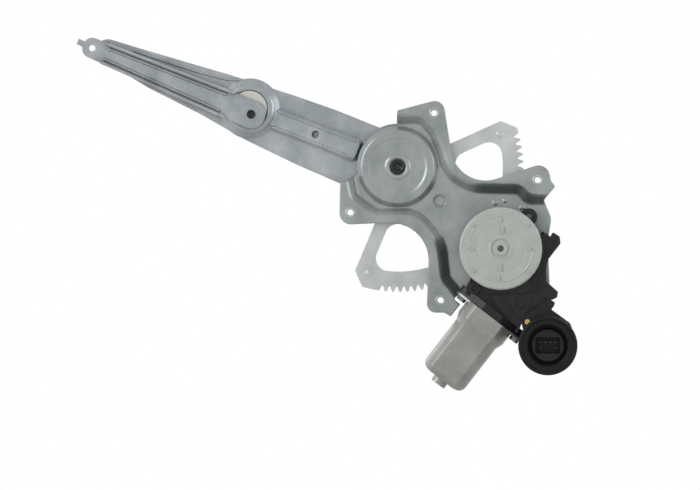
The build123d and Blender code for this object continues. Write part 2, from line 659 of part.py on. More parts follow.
# Worm wheel, moulded in nylon, its teeth cut on a slant to suit the worm
WORM_PITCH = WORM_MODULE * pi
LEAD_ANGLE = degrees(atan2(WORM_PITCH, 2 * pi * WORM_PITCH_RADIUS))
WHEEL_PITCH_RADIUS = WORM_MODULE * WHEEL_TEETH / 2
WHEEL_TIP_RADIUS = WHEEL_PITCH_RADIUS + WHEEL_ADDENDUM
WHEEL_ROOT_RADIUS = WHEEL_PITCH_RADIUS - WHEEL_DEDENDUM
WHEEL_BACK = WORM_LEVEL + WHEEL_WIDTH / 2
WHEEL_FRONT = WORM_LEVEL - WHEEL_WIDTH / 2
POCKET_FLOOR = WHEEL_FRONT + DAMPER_THICKNESS + 2 * END_CLEARANCE
SHAFT_BORE = OUTPUT_SHAFT_RADIUS + RUNNING_CLEARANCE


def wheel_gap(angle):
    """The space between two wheel teeth, a slanted wedge."""
    radial = Vector(cos(radians(angle)), 0, sin(radians(angle)))
    tangent = Vector(-sin(radians(angle)), 0, cos(radians(angle)))
    slant = Vector(0, 1, 0) * cos(radians(LEAD_ANGLE)) - tangent * sin(radians(LEAD_ANGLE))
    place = Plane(origin=(OUTPUT_AXIS[0], WORM_LEVEL, OUTPUT_AXIS[1]), x_dir=radial, z_dir=slant)
    widening = tan(radians(WORM_FLANK_ANGLE))
    half = (WORM_PITCH - WHEEL_TOOTH) / 2

    def corner(radius, side):
        return radius, side * (half + (radius - WHEEL_PITCH_RADIUS) * widening)

    outer = WHEEL_TIP_RADIUS + WORM_MODULE
    wedge = make_face(Polyline(corner(WHEEL_ROOT_RADIUS, -1), corner(outer, -1),
                               corner(outer, 1), corner(WHEEL_ROOT_RADIUS, 1), close=True))
    return extrude(place * wedge, WHEEL_WIDTH, both=True)


def worm_wheel():
    body = disc(OUTPUT_AXIS, WHEEL_TIP_RADIUS, WHEEL_BACK, WHEEL_FRONT)
    body -= ring(OUTPUT_AXIS, DAMPER_RADIUS, WHEEL_HUB_RADIUS, POCKET_FLOOR, WHEEL_FRONT - 1)
    body -= disc(OUTPUT_AXIS, SHAFT_BORE, WHEEL_BACK + 1, WHEEL_FRONT - 1)
    gaps = [wheel_gap(MOTOR_DIRECTION - 90 + 360 / WHEEL_TEETH * tooth) for tooth in range(WHEEL_TEETH)]
    return body - gaps


keep("worm_wheel", worm_wheel())


# Rubber damper in the wheel, and the output shaft whose plate drives through it
def lug_places():
    return [about_output(DRIVER_LUG_CIRCLE, 90 + 360 / DRIVER_LUGS * lug) for lug in range(DRIVER_LUGS)]


DAMPER_FRONT = WHEEL_FRONT + END_CLEARANCE
DAMPER_BACK = DAMPER_FRONT + DAMPER_THICKNESS
DRIVER_BACK = WHEEL_FRONT - END_CLEARANCE
DRIVER_FRONT = DRIVER_BACK - DRIVER_THICKNESS
damper = ring(OUTPUT_AXIS, DAMPER_RADIUS - 0.1, WHEEL_HUB_RADIUS + 0.1, DAMPER_BACK, DAMPER_FRONT)
for place in lug_places():
    damper -= disc(place, DRIVER_LUG_RADIUS, DAMPER_BACK + 1, DAMPER_FRONT - 1)
keep("wheel_damper", damper)

PINION_FRONT = ARM_BACK - PINION_OVERLAP
PINION_BACK = SECTOR_BACK + PINION_OVERLAP
shaft = disc(OUTPUT_AXIS, OUTPUT_SHAFT_RADIUS, SPIGOT_LEVEL + END_CLEARANCE, DRIVER_FRONT)
shaft += disc(OUTPUT_AXIS, DRIVER_RADIUS, DRIVER_BACK, DRIVER_FRONT)
shaft += disc(OUTPUT_AXIS, PINION_BORE, PINION_BACK, SPIGOT_LEVEL)
for place in lug_places():
    shaft += disc(place, DRIVER_LUG_RADIUS, DAMPER_BACK - END_CLEARANCE, DRIVER_BACK)
keep("output_shaft", shaft)

pinion_face = Circle(GEAR_MODULE * (PINION_TEETH / 2 + PINION_ADDENDUM + PROFILE_SHIFT))
for tooth in range(PINION_TEETH):
    gap_place = MOTOR_ANGLE + 180 + 360 / PINION_TEETH * tooth
    pinion_face -= tooth_gap(PINION_TEETH, PROFILE_SHIFT, PINION_ADDENDUM, gap_place)
pinion_face -= Circle(PINION_BORE)
keep("drive_pinion", slab(Pos(*OUTPUT_AXIS) * pinion_face, PINION_BACK, PINION_FRONT))


# Gear case, moulded in black plastic: a cup for the wheel, a tunnel for the worm, three
# lugs on the plate, a flange for the motor and an arm for the connector
def can_outline(growth=0):
    return Circle(CAN_RADIUS + growth) & Rectangle(3 * CAN_RADIUS, 2 * (CAN_HALF_THICKNESS + growth))


def flange_outline():
    edges = Circle(CAN_RADIUS - 2).edges()
    for side in (-1, 1):
        edges += (Pos(side * CAN_SCREW_SPACING / 2, 0) * Circle(CAN_EAR_RADIUS)).edges()
    return make_hull(edges) & Rectangle(4 * CAN_RADIUS, 2 * CAN_HALF_THICKNESS)


def along_motor(outline, start, end):
    return extrude(MOTOR * Pos(0, 0, start) * outline, end - start)


def case_outline():
    """The case's ribbed body between the cup, the motor flange and the worm's end."""
    corners = ((-26, -44), (-28, -20), (-10, 5), (12, 5), (17, -14), (25, -44))
    neck = [motor_point(*corner) for corner in corners]
    return make_face(Polyline(*neck, close=True)) + rounded(
        (98, -51.5, 3), (116.6, -52.3, 1.5), (118.6, -54.6, 0.6), (120.6, -50.8, 1.2), (125.9, -54.2, 1.5),
        (126.6, -59.6, 1.5), (122, -65.5, 3), (117.4, -71.5, 4), (115.6, -78, 8), (115.8, -92, 3),
        (98, -98, 4), (84, -70, 0))


def connector_arm_outline():
    return rounded(
        (92, -84, 2), (115.8, -86, 1), (116.2, -89.4, 0.8), (124.7, -97.1, 1), (123.8, -101.2, 1),
        (120.4, -102.9, 0.5), (117.6, -102.6, 0.5), (122.5, -105.2, 1), (121.4, -108, 0.8),
        (119.3, -110.4, 1), (133.9, -121.1, 4), (140, -137, 10), (120, -157, 12), (104, -152, 10),
        (95, -114, 8))


def gear_case():
    body = disc(OUTPUT_AXIS, CASE_RADIUS, CASE_FLOOR_LEVEL, CASE_RIM_LEVEL)
    body += slab(case_outline(), CASE_BODY_BACK, CASE_BODY_FRONT)
    body += slab(connector_arm_outline(), CASE_BODY_BACK, CONNECTOR_LEVEL)
    body += motor_round(TUNNEL_RADIUS, CAN_MOUTH, TUNNEL_END)
    body += along_motor(flange_outline(), CAN_MOUTH, CAN_MOUTH + CASE_FLANGE)
    for place in MOTOR_SCREWS:
        arm = tapered_link(OUTPUT_AXIS, SPIGOT_RADIUS, place, MOTOR_LUG_RADIUS)
        body += slab(arm, WEB_FRONT, CASE_FLOOR_LEVEL - LUG_ARM_DEPTH)
        body += disc(place, MOTOR_LUG_RADIUS, WEB_FRONT, LUG_FRONT_LEVEL)
    body += disc(OUTPUT_AXIS, SPIGOT_RADIUS - END_CLEARANCE / 3, SPIGOT_LEVEL, CASE_FLOOR_LEVEL)
    body -= disc(OUTPUT_AXIS, WHEEL_TIP_RADIUS + 1, CASE_FLOOR_LEVEL - CASE_WALL, CASE_RIM_LEVEL - 1)
    body -= disc(OUTPUT_AXIS, OUTPUT_BUSH_RADIUS, SPIGOT_LEVEL + 1, CASE_RIM_LEVEL)
    body -= motor_round(TUNNEL_BORE, CAN_MOUTH + 1, TUNNEL_END - CASE_WALL)
    body -= motor_round(BEARING_RADIUS, CAN_MOUTH - 1, CAN_MOUTH + 2)
    for place in MOTOR_SCREWS:
        body -= disc(place, MOTOR_SCREW_RADIUS, 1, CASE_BODY_FRONT - 1)
    for side in (-1, 1):
        body -= along_motor(Pos(side * CAN_SCREW_SPACING / 2, 0) * Circle(CAN_SCREW_RADIUS),
                            CAN_MOUTH - 1, CAN_MOUTH + CAN_SCREW_GRIP)
    body -= disc(BOOT_CENTRE, SHROUD_RADIUS - 2, CASE_BODY_BACK - 3, CONNECTOR_LEVEL - 1)
    hole_end = CONNECTOR_LEVEL + SEALING_SCREW_LENGTH + 1
    body -= disc(SEALING_SCREW, SEALING_SCREW_RADIUS, hole_end, CONNECTOR_LEVEL - 1)
    return body


keep("gear_case", gear_case())
keep("output_bush", ring(OUTPUT_AXIS, OUTPUT_BUSH_RADIUS, SHAFT_BORE,
                         SPIGOT_LEVEL, CASE_FLOOR_LEVEL - CASE_WALL))


def gear_cap():
    """The pale round cover, with a lip, a shallow ring and a small cup at its centre."""
    front = CASE_RIM_LEVEL - CAP_THICKNESS
    profile = rounded(
        (0, front + 1.6, 0), (1.6, front + 1.6, 0), (1.8, front + 0.6, 0), (7.4, front + 0.6, 0),
        (7.8, front, 0), (24.2, front, 0), (24.6, front + 0.4, 0), (25.4, front + 0.4, 0), (25.8, front, 0),
        (CAP_RADIUS - 1, front, 1.2), (CAP_RADIUS, front + 2.5, 0.5), (CAP_RADIUS, CASE_RIM_LEVEL, 0),
        (CAP_RADIUS - CASE_WALL, CASE_RIM_LEVEL, 0), (CAP_RADIUS - CASE_WALL, front + CAP_WALL, 0),
        (0, front + CAP_WALL, 0))
    plug = revolve(profile, Axis.Y)
    return Pos(OUTPUT_AXIS[0], 0, OUTPUT_AXIS[1]) * plug


keep("gear_cap", gear_cap())


# Fasteners of the motor
motor_screws = []
for place in MOTOR_SCREWS:
    screw = disc(place, MOTOR_SCREW_RADIUS, 0, LUG_FRONT_LEVEL + MOTOR_SCREW_SUNK)
    screw += disc(place, MOTOR_SCREW_HEAD_RADIUS, MOTOR_SCREW_HEAD, 0)
    socket = Pos(*place) * RegularPolygon(MOTOR_SCREW_RADIUS, 6)
    motor_screws.append(screw - slab(socket, MOTOR_SCREW_HEAD + 1, MOTOR_SCREW_HEAD / 3))
keep("motor_mount_screws", Compound(children=motor_screws))

can_screws = []
for side in (-1, 1):
    centre = Pos(side * CAN_SCREW_SPACING / 2, 0)
    head_end = CAN_MOUTH - CAN_FLANGE_THICKNESS
    screw = along_motor(centre * Circle(CAN_SCREW_RADIUS), head_end, CAN_MOUTH + CAN_SCREW_GRIP - 0.5)
    screw += along_motor(centre * RegularPolygon(3.8, 6), head_end - 3, head_end)
    can_screws.append(screw)
keep("can_screws", Compound(children=can_screws))

sealing_end = CONNECTOR_LEVEL + SEALING_SCREW_LENGTH
sealing_screw = disc(SEALING_SCREW, SEALING_SCREW_RADIUS, sealing_end, CONNECTOR_LEVEL)
sealing_screw += disc(SEALING_SCREW, SEALING_SCREW_HEAD_RADIUS, CONNECTOR_LEVEL, CONNECTOR_LEVEL - 1.2)
keep("sealing_screw", sealing_screw)


# Motor can, deep drawn in steel, with its flange and the boss of the rear bearing
def can_block(growth, bottom, mouth):
    """The drawn can as a full block, its bottom's edges rounded."""
    block = along_motor(can_outline(growth), bottom, mouth)
    far_face = block.faces().sort_by(Axis((0, 0, 0), MOTOR.z_dir))[0]
    return fillet(far_face.edges(), CAN_CORNER + growth)


def motor_can():
    body = can_block(0, CAN_BOTTOM, CAN_MOUTH)
    step = CAN_MOUTH - CAN_SHOULDER_LENGTH
    body += along_motor(can_outline(CAN_SHOULDER), step, CAN_MOUTH)
    body += loft([MOTOR * Pos(0, 0, step - CAN_SHOULDER_TAPER) * can_outline(0),
                  MOTOR * Pos(0, 0, step) * can_outline(CAN_SHOULDER)], ruled=True)
    body += along_motor(flange_outline(), CAN_MOUTH - CAN_FLANGE_THICKNESS, CAN_MOUTH)
    body -= can_block(-CAN_WALL, CAN_BOTTOM + CAN_WALL, CAN_MOUTH + 1)
    body += motor_round(CAN_BOSS_RADIUS, CAN_BOTTOM - CAN_BOSS_LENGTH, CAN_BOTTOM + CAN_WALL)
    boss_floor = CAN_BOTTOM - CAN_BOSS_LENGTH + CAN_WALL
    body -= motor_round(BEARING_RADIUS, boss_floor, CAN_BOTTOM + CAN_WALL + 1)
    for side in (-1, 1):
        body -= along_motor(Pos(side * CAN_SCREW_SPACING / 2, 0) * Circle(CAN_SCREW_RADIUS),
                            CAN_MOUTH - CAN_FLANGE_THICKNESS - 1, CAN_MOUTH + 1)
    return body


keep("motor_can", motor_can())


# Inside the can: magnets, armature on the worm shaft, commutator, brushes and bearings
CORE_START = CAN_BOTTOM + CORE_SETBACK
CORE_END = CORE_START + CORE_LENGTH
COMMUTATOR_START = CORE_END + COIL_LENGTH
COMMUTATOR_END = COMMUTATOR_START + COMMUTATOR_LENGTH
REAR_BEARING_START = CAN_BOTTOM - CAN_BOSS_LENGTH + CAN_WALL


def motor_magnets():
    magnets = []
    for side in (0, 180):
        corners = [polar(2 * CAN_RADIUS, side + turn) for turn in (-MAGNET_HALF_ANGLE, MAGNET_HALF_ANGLE)]
        wedge = make_face(Polyline((0, 0), *corners, close=True))
        section = (Circle(CAN_RADIUS - CAN_WALL) - Circle(ARMATURE_RADIUS + AIR_GAP)) & wedge
        magnets.append(along_motor(section, CORE_START - 3, CORE_END + 3))
    return Compound(children=magnets)


def worm_shaft():
    """The armature's shaft, one piece with the worm that is rolled on its front half."""
    turns = round(WORM_THREAD_LENGTH / WORM_PITCH)
    start = -(turns / 2 + 0.5) * WORM_PITCH
    root_radius = WORM_PITCH_RADIUS - WORM_MODULE
    tip_radius = WORM_PITCH_RADIUS + WORM_MODULE
    sink = 0.3
    half = WORM_THREAD / 2
    slope = tan(radians(WORM_FLANK_ANGLE))

    def corner(radius, side):
        return radius, side * (half - (radius - WORM_PITCH_RADIUS) * slope)

    section = make_face(Polyline(corner(root_radius - sink, -1), corner(tip_radius, -1),
                                 corner(tip_radius, 1), corner(root_radius - sink, 1), close=True))
    path = Helix(WORM_PITCH, turns * WORM_PITCH, WORM_PITCH_RADIUS)
    thread = MOTOR * Pos(0, 0, start) * sweep(Plane.XZ * section, path=path, is_frenet=True)
    body = motor_round(root_radius, start - 2, start + turns * WORM_PITCH + 2)
    body += thread
    front_end = TUNNEL_END - CASE_WALL - END_CLEARANCE
    return body + motor_round(SHAFT_RADIUS, REAR_BEARING_START + END_CLEARANCE, front_end)


def armature_core():
    """The stack of slotted steel laminations."""
    section = Circle(ARMATURE_RADIUS) - Circle(SHAFT_RADIUS)
    for slot in range(CORE_SLOTS):
        angle = 360 / CORE_SLOTS * slot
        place = Rot(0, 0, angle)
        section -= place * Pos(ARMATURE_RADIUS, 0) * Rectangle(3, 1)
        section -= place * Pos(ARMATURE_RADIUS - 3.2, 0) * Rectangle(4.4, 2.6)
    return along_motor(section, CORE_START, CORE_END)


keep("motor_magnets", motor_magnets())
keep("worm_shaft", worm_shaft())
keep("armature_core", armature_core())
coils = [motor_tube(ARMATURE_RADIUS - 1, SHAFT_RADIUS, CORE_START - COIL_LENGTH, CORE_START),
         motor_tube(ARMATURE_RADIUS - 1, SHAFT_RADIUS, CORE_END, CORE_END + COIL_LENGTH)]
keep("armature_coils", Compound(children=coils))
keep("commutator", motor_tube(COMMUTATOR_RADIUS, SHAFT_RADIUS, COMMUTATOR_START, COMMUTATOR_END))

SHAFT_RUNNING_BORE = SHAFT_RADIUS + RUNNING_CLEARANCE
bearings = []
for radius, start in ((BEARING_RADIUS, REAR_BEARING_START), (TUNNEL_BORE, CAN_MOUTH + FRONT_BEARING_SETBACK),
                      (TUNNEL_BORE, TUNNEL_END - CASE_WALL - BEARING_LENGTH)):
    bearings.append(motor_tube(radius, SHAFT_RUNNING_BORE, start, start + BEARING_LENGTH))
keep("shaft_bearings", Compound(children=bearings))

BRUSH_STATION = (COMMUTATOR_START + COMMUTATOR_END) / 2
HOLDER_START = COMMUTATOR_END + 1
holder = along_motor(can_outline(-CAN_WALL - 0.1), HOLDER_START, HOLDER_START + HOLDER_THICKNESS)
holder -= motor_round(COMMUTATOR_RADIUS + 1, HOLDER_START - 1, HOLDER_START + HOLDER_THICKNESS + 1)
for side in (-1, 1):
    sleeve = Pos(side * (COMMUTATOR_RADIUS + 1.5 + BRUSH_LENGTH / 2), 0)
    sleeve *= Rectangle(BRUSH_LENGTH, BRUSH_WIDTH + 2)
    holder += along_motor(sleeve, BRUSH_STATION - BRUSH_WIDTH / 2 - 1, HOLDER_START)
    bore = Pos(side * (COMMUTATOR_RADIUS + BRUSH_LENGTH / 2), 0) * Rectangle(3 * BRUSH_LENGTH, BRUSH_WIDTH)
    holder -= along_motor(bore, BRUSH_STATION - BRUSH_WIDTH / 2, BRUSH_STATION + BRUSH_WIDTH / 2)
keep("brush_holder", holder)

brushes = []
for side in (-1, 1):
    blank = Pos(side * (COMMUTATOR_RADIUS + RUNNING_CLEARANCE + BRUSH_LENGTH / 2), 0)
    stick = along_motor(blank * Rectangle(BRUSH_LENGTH, BRUSH_WIDTH),
                        BRUSH_STATION - BRUSH_WIDTH / 2, BRUSH_STATION + BRUSH_WIDTH / 2)
    worn = motor_round(COMMUTATOR_RADIUS + RUNNING_CLEARANCE, COMMUTATOR_START, COMMUTATOR_END)
    brushes.append(stick - worn)
keep("brushes", Compound(children=brushes))


# Connector: the round body with its socket, the blades in it, and the rubber boot round it
SOCKET_FLOOR = SHROUD_FRONT_LEVEL + SOCKET_DEPTH
connector_body = disc(BOOT_CENTRE, SHROUD_RADIUS, CONNECTOR_LEVEL, SHROUD_FRONT_LEVEL)
connector_body += disc(BOOT_CENTRE, SHROUD_RADIUS - 2, CONNECTOR_LEVEL + 8, CONNECTOR_LEVEL)
connector_body += disc(BOOT_CENTRE, BOOT_SEAT_RADIUS, CONNECTOR_LEVEL, CONNECTOR_LEVEL - 2)
connector_body -= slab(Pos(*BOOT_CENTRE) * RectangleRounded(SOCKET_WIDTH, SOCKET_HEIGHT, 1),
                       SOCKET_FLOOR, SHROUD_FRONT_LEVEL - 1)

PIN_PLACES = [(PIN_PITCH * (column - 1.5), PIN_ROW_GAP / 2) for column in range(4)]
PIN_PLACES += [(PIN_PITCH * (column - 1.5), -PIN_ROW_GAP / 2) for column in (0, 3)]
blades = []
for across, up in PIN_PLACES:
    blade_outline = Pos(BOOT_CENTRE[0] + across, BOOT_CENTRE[1] + up) * Rectangle(PIN_BLADE * 1.6, PIN_BLADE)
    blades.append(slab(blade_outline, SOCKET_FLOOR + 6, SOCKET_FLOOR - PIN_LENGTH))
    connector_body -= slab(blade_outline, SOCKET_FLOOR + 6, SOCKET_FLOOR - 1)
keep("connector_body", connector_body)
keep("connector_pins", Compound(children=blades))


def connector_boot():
    """A thick rubber sleeve with a rounded front rim and a bead inside its mouth."""
    front = BOOT_FRONT_LEVEL
    back = CONNECTOR_LEVEL - END_CLEARANCE
    profile = rounded(
        (BOOT_SEAT_RADIUS, back, 0), (BOOT_RADIUS - 1.5, back, 1), (BOOT_RADIUS - 1, front + 9, 1.5),
        (BOOT_RADIUS, front + 7, 1), (BOOT_RADIUS, front, 1.5), (BOOT_RADIUS - 2.4, front, 0.8),
        (BOOT_RADIUS - 3, front + 1.4, 0.5), (BOOT_MOUTH_RADIUS + 1.6, front + 1.4, 0.6),
        (BOOT_MOUTH_RADIUS, front + 3, 1), (BOOT_MOUTH_RADIUS, front + 6, 1),
        (BOOT_MOUTH_RADIUS + 2.4, front + 8, 1), (BOOT_MOUTH_RADIUS + 2.4, back - 4, 1),
        (BOOT_SEAT_RADIUS, back - 2.5, 0))
    return Pos(BOOT_CENTRE[0], 0, BOOT_CENTRE[1]) * revolve(profile, Axis.Y)


keep("connector_boot", connector_boot())
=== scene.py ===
import math
import bmesh
import bpy
from mathutils import Matrix, Vector


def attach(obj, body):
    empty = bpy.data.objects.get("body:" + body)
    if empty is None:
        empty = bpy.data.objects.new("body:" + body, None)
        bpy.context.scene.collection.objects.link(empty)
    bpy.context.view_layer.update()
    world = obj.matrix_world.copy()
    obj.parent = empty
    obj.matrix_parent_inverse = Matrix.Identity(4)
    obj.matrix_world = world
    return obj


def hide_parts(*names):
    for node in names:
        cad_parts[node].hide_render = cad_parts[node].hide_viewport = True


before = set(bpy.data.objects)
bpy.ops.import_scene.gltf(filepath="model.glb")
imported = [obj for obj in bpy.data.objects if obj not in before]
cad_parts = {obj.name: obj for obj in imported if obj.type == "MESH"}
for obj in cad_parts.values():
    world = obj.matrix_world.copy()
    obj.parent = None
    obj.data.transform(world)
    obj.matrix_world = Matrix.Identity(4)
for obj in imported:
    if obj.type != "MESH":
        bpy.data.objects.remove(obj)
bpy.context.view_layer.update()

# Camera: a long lens nearly square to the base plate, as in a catalogue photograph.
# It stands four degrees to the right of square, so the cap hides a sliver of its case.
view_distance = 2.5
view_half_width = 0.273
view_turn = math.radians(4)
view_across, view_height = -0.0374, -0.0608
camera_data = bpy.data.cameras.new("camera")
camera_data.sensor_fit = "HORIZONTAL"
camera_data.angle = 2 * math.atan(view_half_width / view_distance)
camera = bpy.data.objects.new("camera", camera_data)
camera.location = (view_distance * math.sin(view_turn) + view_across,
                   -view_distance * math.cos(view_turn), view_height)
camera.rotation_euler = (math.pi / 2, 0, view_turn)
bpy.context.scene.collection.objects.link(camera)
bpy.context.scene.camera = camera
bpy.context.scene.view_settings.view_transform = "Standard"


def add_node(tree, kind, inputs=None, settings=None):
    """One node with its settings. An input is a value, or another node's output."""
    node = tree.nodes.new(kind)
    for name, value in (settings or {}).items():
        setattr(node, name, value)
    for name, value in (inputs or {}).items():
        if isinstance(value, bpy.types.NodeSocket):
            tree.links.new(value, node.inputs[name])
        else:
            node.inputs[name].default_value = value
    return node


def larger(tree, first, second):
    """The larger of two values."""
    return add_node(tree, "ShaderNodeMath", {0: first, 1: second}, {"operation": "MAXIMUM"}).outputs[0]


# Studio: white all round for the background and for what the metal mirrors.
# Two tall soft lamps stand at the sides and draw the slopes of the pressings,
# and two weaker ones light the back.
studio = bpy.data.worlds.new("studio")
bpy.context.scene.world = studio
studio.use_nodes = True
sky = studio.node_tree
sky.nodes.clear()
white = (1, 1, 1, 1)
plain_strength = 0.55
rays = add_node(sky, "ShaderNodeLightPath").outputs
mirrored = larger(sky, larger(sky, rays["Is Camera Ray"], rays["Is Glossy Ray"]),
                  rays["Is Transmission Ray"])
plain_light = add_node(sky, "ShaderNodeBackground", {"Color": white, "Strength": plain_strength})
white_wall = add_node(sky, "ShaderNodeBackground", {"Color": white, "Strength": 1.0})
lit = add_node(sky, "ShaderNodeMixShader",
               {0: mirrored, 1: plain_light.outputs[0], 2: white_wall.outputs[0]})
add_node(sky, "ShaderNodeOutputWorld", {"Surface": lit.outputs[0]})

lamps_aim = Vector((-0.03, 0, -0.03))
for name, place, width, height, power in (("left_lamp", (-1.5, -1.1, 0.6), 0.9, 1.2, 15.0),
                                          ("right_lamp", (1.6, -0.9, 0.3), 0.5, 1.2, 5.0),
                                          ("back_left_lamp", (-1.3, 1.4, 0.6), 1.0, 1.2, 5.0),
                                          ("back_right_lamp", (1.3, 1.4, 0.2), 1.0, 1.2, 5.0)):
    lamp_data = bpy.data.lights.new(name, "AREA")
    lamp_data.shape = "RECTANGLE"
    lamp_data.size = width
    lamp_data.size_y = height
    lamp_data.energy = power
    lamp = bpy.data.objects.new(name, lamp_data)
    lamp.location = place
    lamp.rotation_euler = (lamps_aim - Vector(place)).to_track_quat("-Z", "Y").to_euler()
    bpy.context.scene.collection.objects.link(lamp)


def linear(hex_colour):
    """A linear colour from an sRGB hex value."""
    channels = [int(hex_colour[place:place + 2], 16) / 255 for place in (1, 3, 5)]
    return [c / 12.92 if c < 0.04045 else ((c + 0.055) / 1.055) ** 2.4 for c in channels] + [1]


def new_material(name):
    """A material with an empty node tree, its output node and the object's coordinates."""
    material = bpy.data.materials.new(name)
    material.use_nodes = True
    tree = material.node_tree
    tree.nodes.clear()
    output = add_node(tree, "ShaderNodeOutputMaterial")
    where = add_node(tree, "ShaderNodeTexCoord").outputs["Object"]
    return material, tree, output, where


def noise(tree, where, size, detail, roughness=0.5):
    """Soft noise with features about as wide as size."""
    return add_node(tree, "ShaderNodeTexNoise",
                    {"Vector": where, "Scale": 1 / size, "Detail": detail,
                     "Roughness": roughness}).outputs["Fac"]


def ramp(tree, value, low, high, least=0.0, most=1.0):
    """Spreads a value between low and high over least to most."""
    return add_node(tree, "ShaderNodeMapRange",
                    {"Value": value, "From Min": low, "From Max": high,
                     "To Min": least, "To Max": most}).outputs[0]


def two_tones(tree, factor, dark, light):
    """A colour between two hex values."""
    return add_node(tree, "ShaderNodeMix", {0: factor, 6: linear(dark), 7: linear(light)},
                    {"data_type": "RGBA"}).outputs[2]


def soft_edges(tree, radius, samples=4):
    """A normal that rounds the edges by a radius."""
    return add_node(tree, "ShaderNodeBevel", {"Radius": radius}, {"samples": samples}).outputs[0]


def relief(tree, height, depth, strength, normal=None):
    """A normal with fine bumps, over another normal where one is given."""
    inputs = {"Height": height, "Distance": depth, "Strength": strength}
    if normal:
        inputs["Normal"] = normal
    return add_node(tree, "ShaderNodeBump", inputs).outputs[0]


def finish(tree, output, colour, inputs):
    """The surface itself, joined to the material's output."""
    surface = add_node(tree, "ShaderNodeBsdfPrincipled", {"Base Color": colour, **inputs})
    tree.links.new(surface.outputs[0], output.inputs["Surface"])


def dress(material, *nodes):
    """Gives CAD nodes their material."""
    for node in nodes:
        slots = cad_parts[node].data.materials
        slots.clear()
        slots.append(material)


def finished_piece(name, mesh, material, body, slot, *stands_for):
    """Turns a bmesh into a piece that rides on a body; its slot argument is not used."""
    bmesh.ops.recalc_face_normals(mesh, faces=mesh.faces)
    data = bpy.data.meshes.new(name)
    mesh.to_mesh(data)
    mesh.free()
    data.materials.append(material)
    piece = bpy.data.objects.new(name, data)
    bpy.context.scene.collection.objects.link(piece)
    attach(piece, body)
    if stands_for:
        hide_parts(*stands_for)


def lathe(mesh, profile, centre, steps=64):
    """Spins an open or closed profile of (radius, level) round an axis along Y."""
    start = [mesh.verts.new((centre[0] + radius, level, centre[1])) for radius, level in profile]
    edges = [mesh.edges.new(pair) for pair in zip(start, start[1:])]
    bmesh.ops.spin(mesh, geom=start + edges, cent=(centre[0], 0, centre[1]), axis=(0, 1, 0),
                   angle=2 * math.pi, steps=steps, use_merge=True)
    bmesh.ops.remove_doubles(mesh, verts=mesh.verts, dist=1e-6)


def raised_rib(mesh, start, end, width, foot, top, ease=0.0003):
    """A straight rib between two points of a face, its edges eased."""
    along = Vector((end[0] - start[0], 0, end[1] - start[1]))
    made = bmesh.ops.create_cube(mesh, size=1.0)["verts"]
    edges = list({edge for vert in made for edge in vert.link_edges})
    bmesh.ops.scale(mesh, vec=(along.length, foot - top, width), verts=made)
    turn = Matrix.Rotation(-math.atan2(along.z, along.x), 3, "Y")
    bmesh.ops.rotate(mesh, matrix=turn, verts=made)
    middle = ((start[0] + end[0]) / 2, (foot + top) / 2, (start[1] + end[1]) / 2)
    bmesh.ops.translate(mesh, vec=middle, verts=made)
    bmesh.ops.bevel(mesh, geom=edges, offset=ease, segments=3, profile=0.5, affect="EDGES",
                    material=-1)


def raised_disc(mesh, centre, radius, foot, top, hollow=0.0):
    """A moulded boss with a soft rim, and a blind hole where it takes a screw."""
    soft = 0.0004
    floor_level = top + 0.0022
    outside = [(radius, foot), (radius, top + soft), (radius - soft, top)]
    inside = [(hollow, top), (hollow, floor_level), (0.0, floor_level)] if hollow else [(0.0, top)]
    lathe(mesh, outside + inside, centre, 32)


# Floor: a pale painted board below the object, clear of the photograph's frame.
# Its paint shows clouds about a tenth of a metre wide, and its edges are eased.
board_size = (1.1, 0.44, 0.02)
board_place = (-0.06, 0.0, -0.292)
board_material, tree, output, where = new_material("painted_board")
board_tones = two_tones(tree, noise(tree, where, 1 / 9, 3.0), "#F4F4F2", "#FAFAF9")
finish(tree, output, board_tones, {"Roughness": 0.8, "Specular IOR Level": 0.2})
board = bmesh.new()
bmesh.ops.create_cube(board, size=1.0)
bmesh.ops.scale(board, vec=board_size, verts=board.verts)
bmesh.ops.translate(board, vec=board_place, verts=board.verts)
bmesh.ops.bevel(board, geom=board.edges[:], offset=0.004, segments=2, profile=0.5,
                affect="EDGES", material=-1)
board_mesh = bpy.data.meshes.new("floor")
board.to_mesh(board_mesh)
board.free()
board_mesh.materials.append(board_material)
floor = bpy.data.objects.new("floor", board_mesh)
bpy.context.scene.collection.objects.link(floor)


# Base plate: zinc-plated deep-drawing steel, pressed in one blow from 1.6 mm sheet.
# The plating gives a satin grey with faint clouds and a fine rolled grain, and the
# bends are round, so a soft light line runs along each of them.
def zinc_plated_sheet(name, dark, light, roughness, bend_radius=0.0018, darkest_painted_shade=0.88):
    """Clear-passivated zinc on sheet steel: clouds of 25 mm, grain of 0.7 mm. Painted shade darkens
    the colour of what lies in a fold or under another part, within 8 mm of the next surface."""
    material, tree, output, where = new_material(name)
    clouds = noise(tree, where, 0.025, 4.0, 0.62)
    tones = two_tones(tree, ramp(tree, clouds, 0.33, 0.67), dark, light)
    # Painted shade: ambient occlusion darkens the plating's colour in folds and where parts overlap.
    fold = add_node(tree, "ShaderNodeAmbientOcclusion", {"Distance": 0.008}, {"samples": 6})
    painted_fold_shade = ramp(tree, fold.outputs["AO"], 0.35, 0.95, darkest_painted_shade)
    plating_with_painted_shade = add_node(tree, "ShaderNodeVectorMath", {0: tones, "Scale": painted_fold_shade},
                      {"operation": "SCALE"}).outputs[0]
    grain = noise(tree, where, 0.0007, 2.0)
    shine = ramp(tree, clouds, 0.3, 0.7, roughness - 0.05, roughness + 0.06)
    bends = soft_edges(tree, bend_radius, 6)
    finish(tree, output, plating_with_painted_shade, {"Metallic": 0.66, "Roughness": shine,
                                  "Normal": relief(tree, grain, 0.00003, 0.35, bends)})
    return material


plate_zinc = zinc_plated_sheet("zinc_plated_pressed_steel", "#878F8E", "#A0A6A5", 0.31)
dress(plate_zinc, "base_plate")
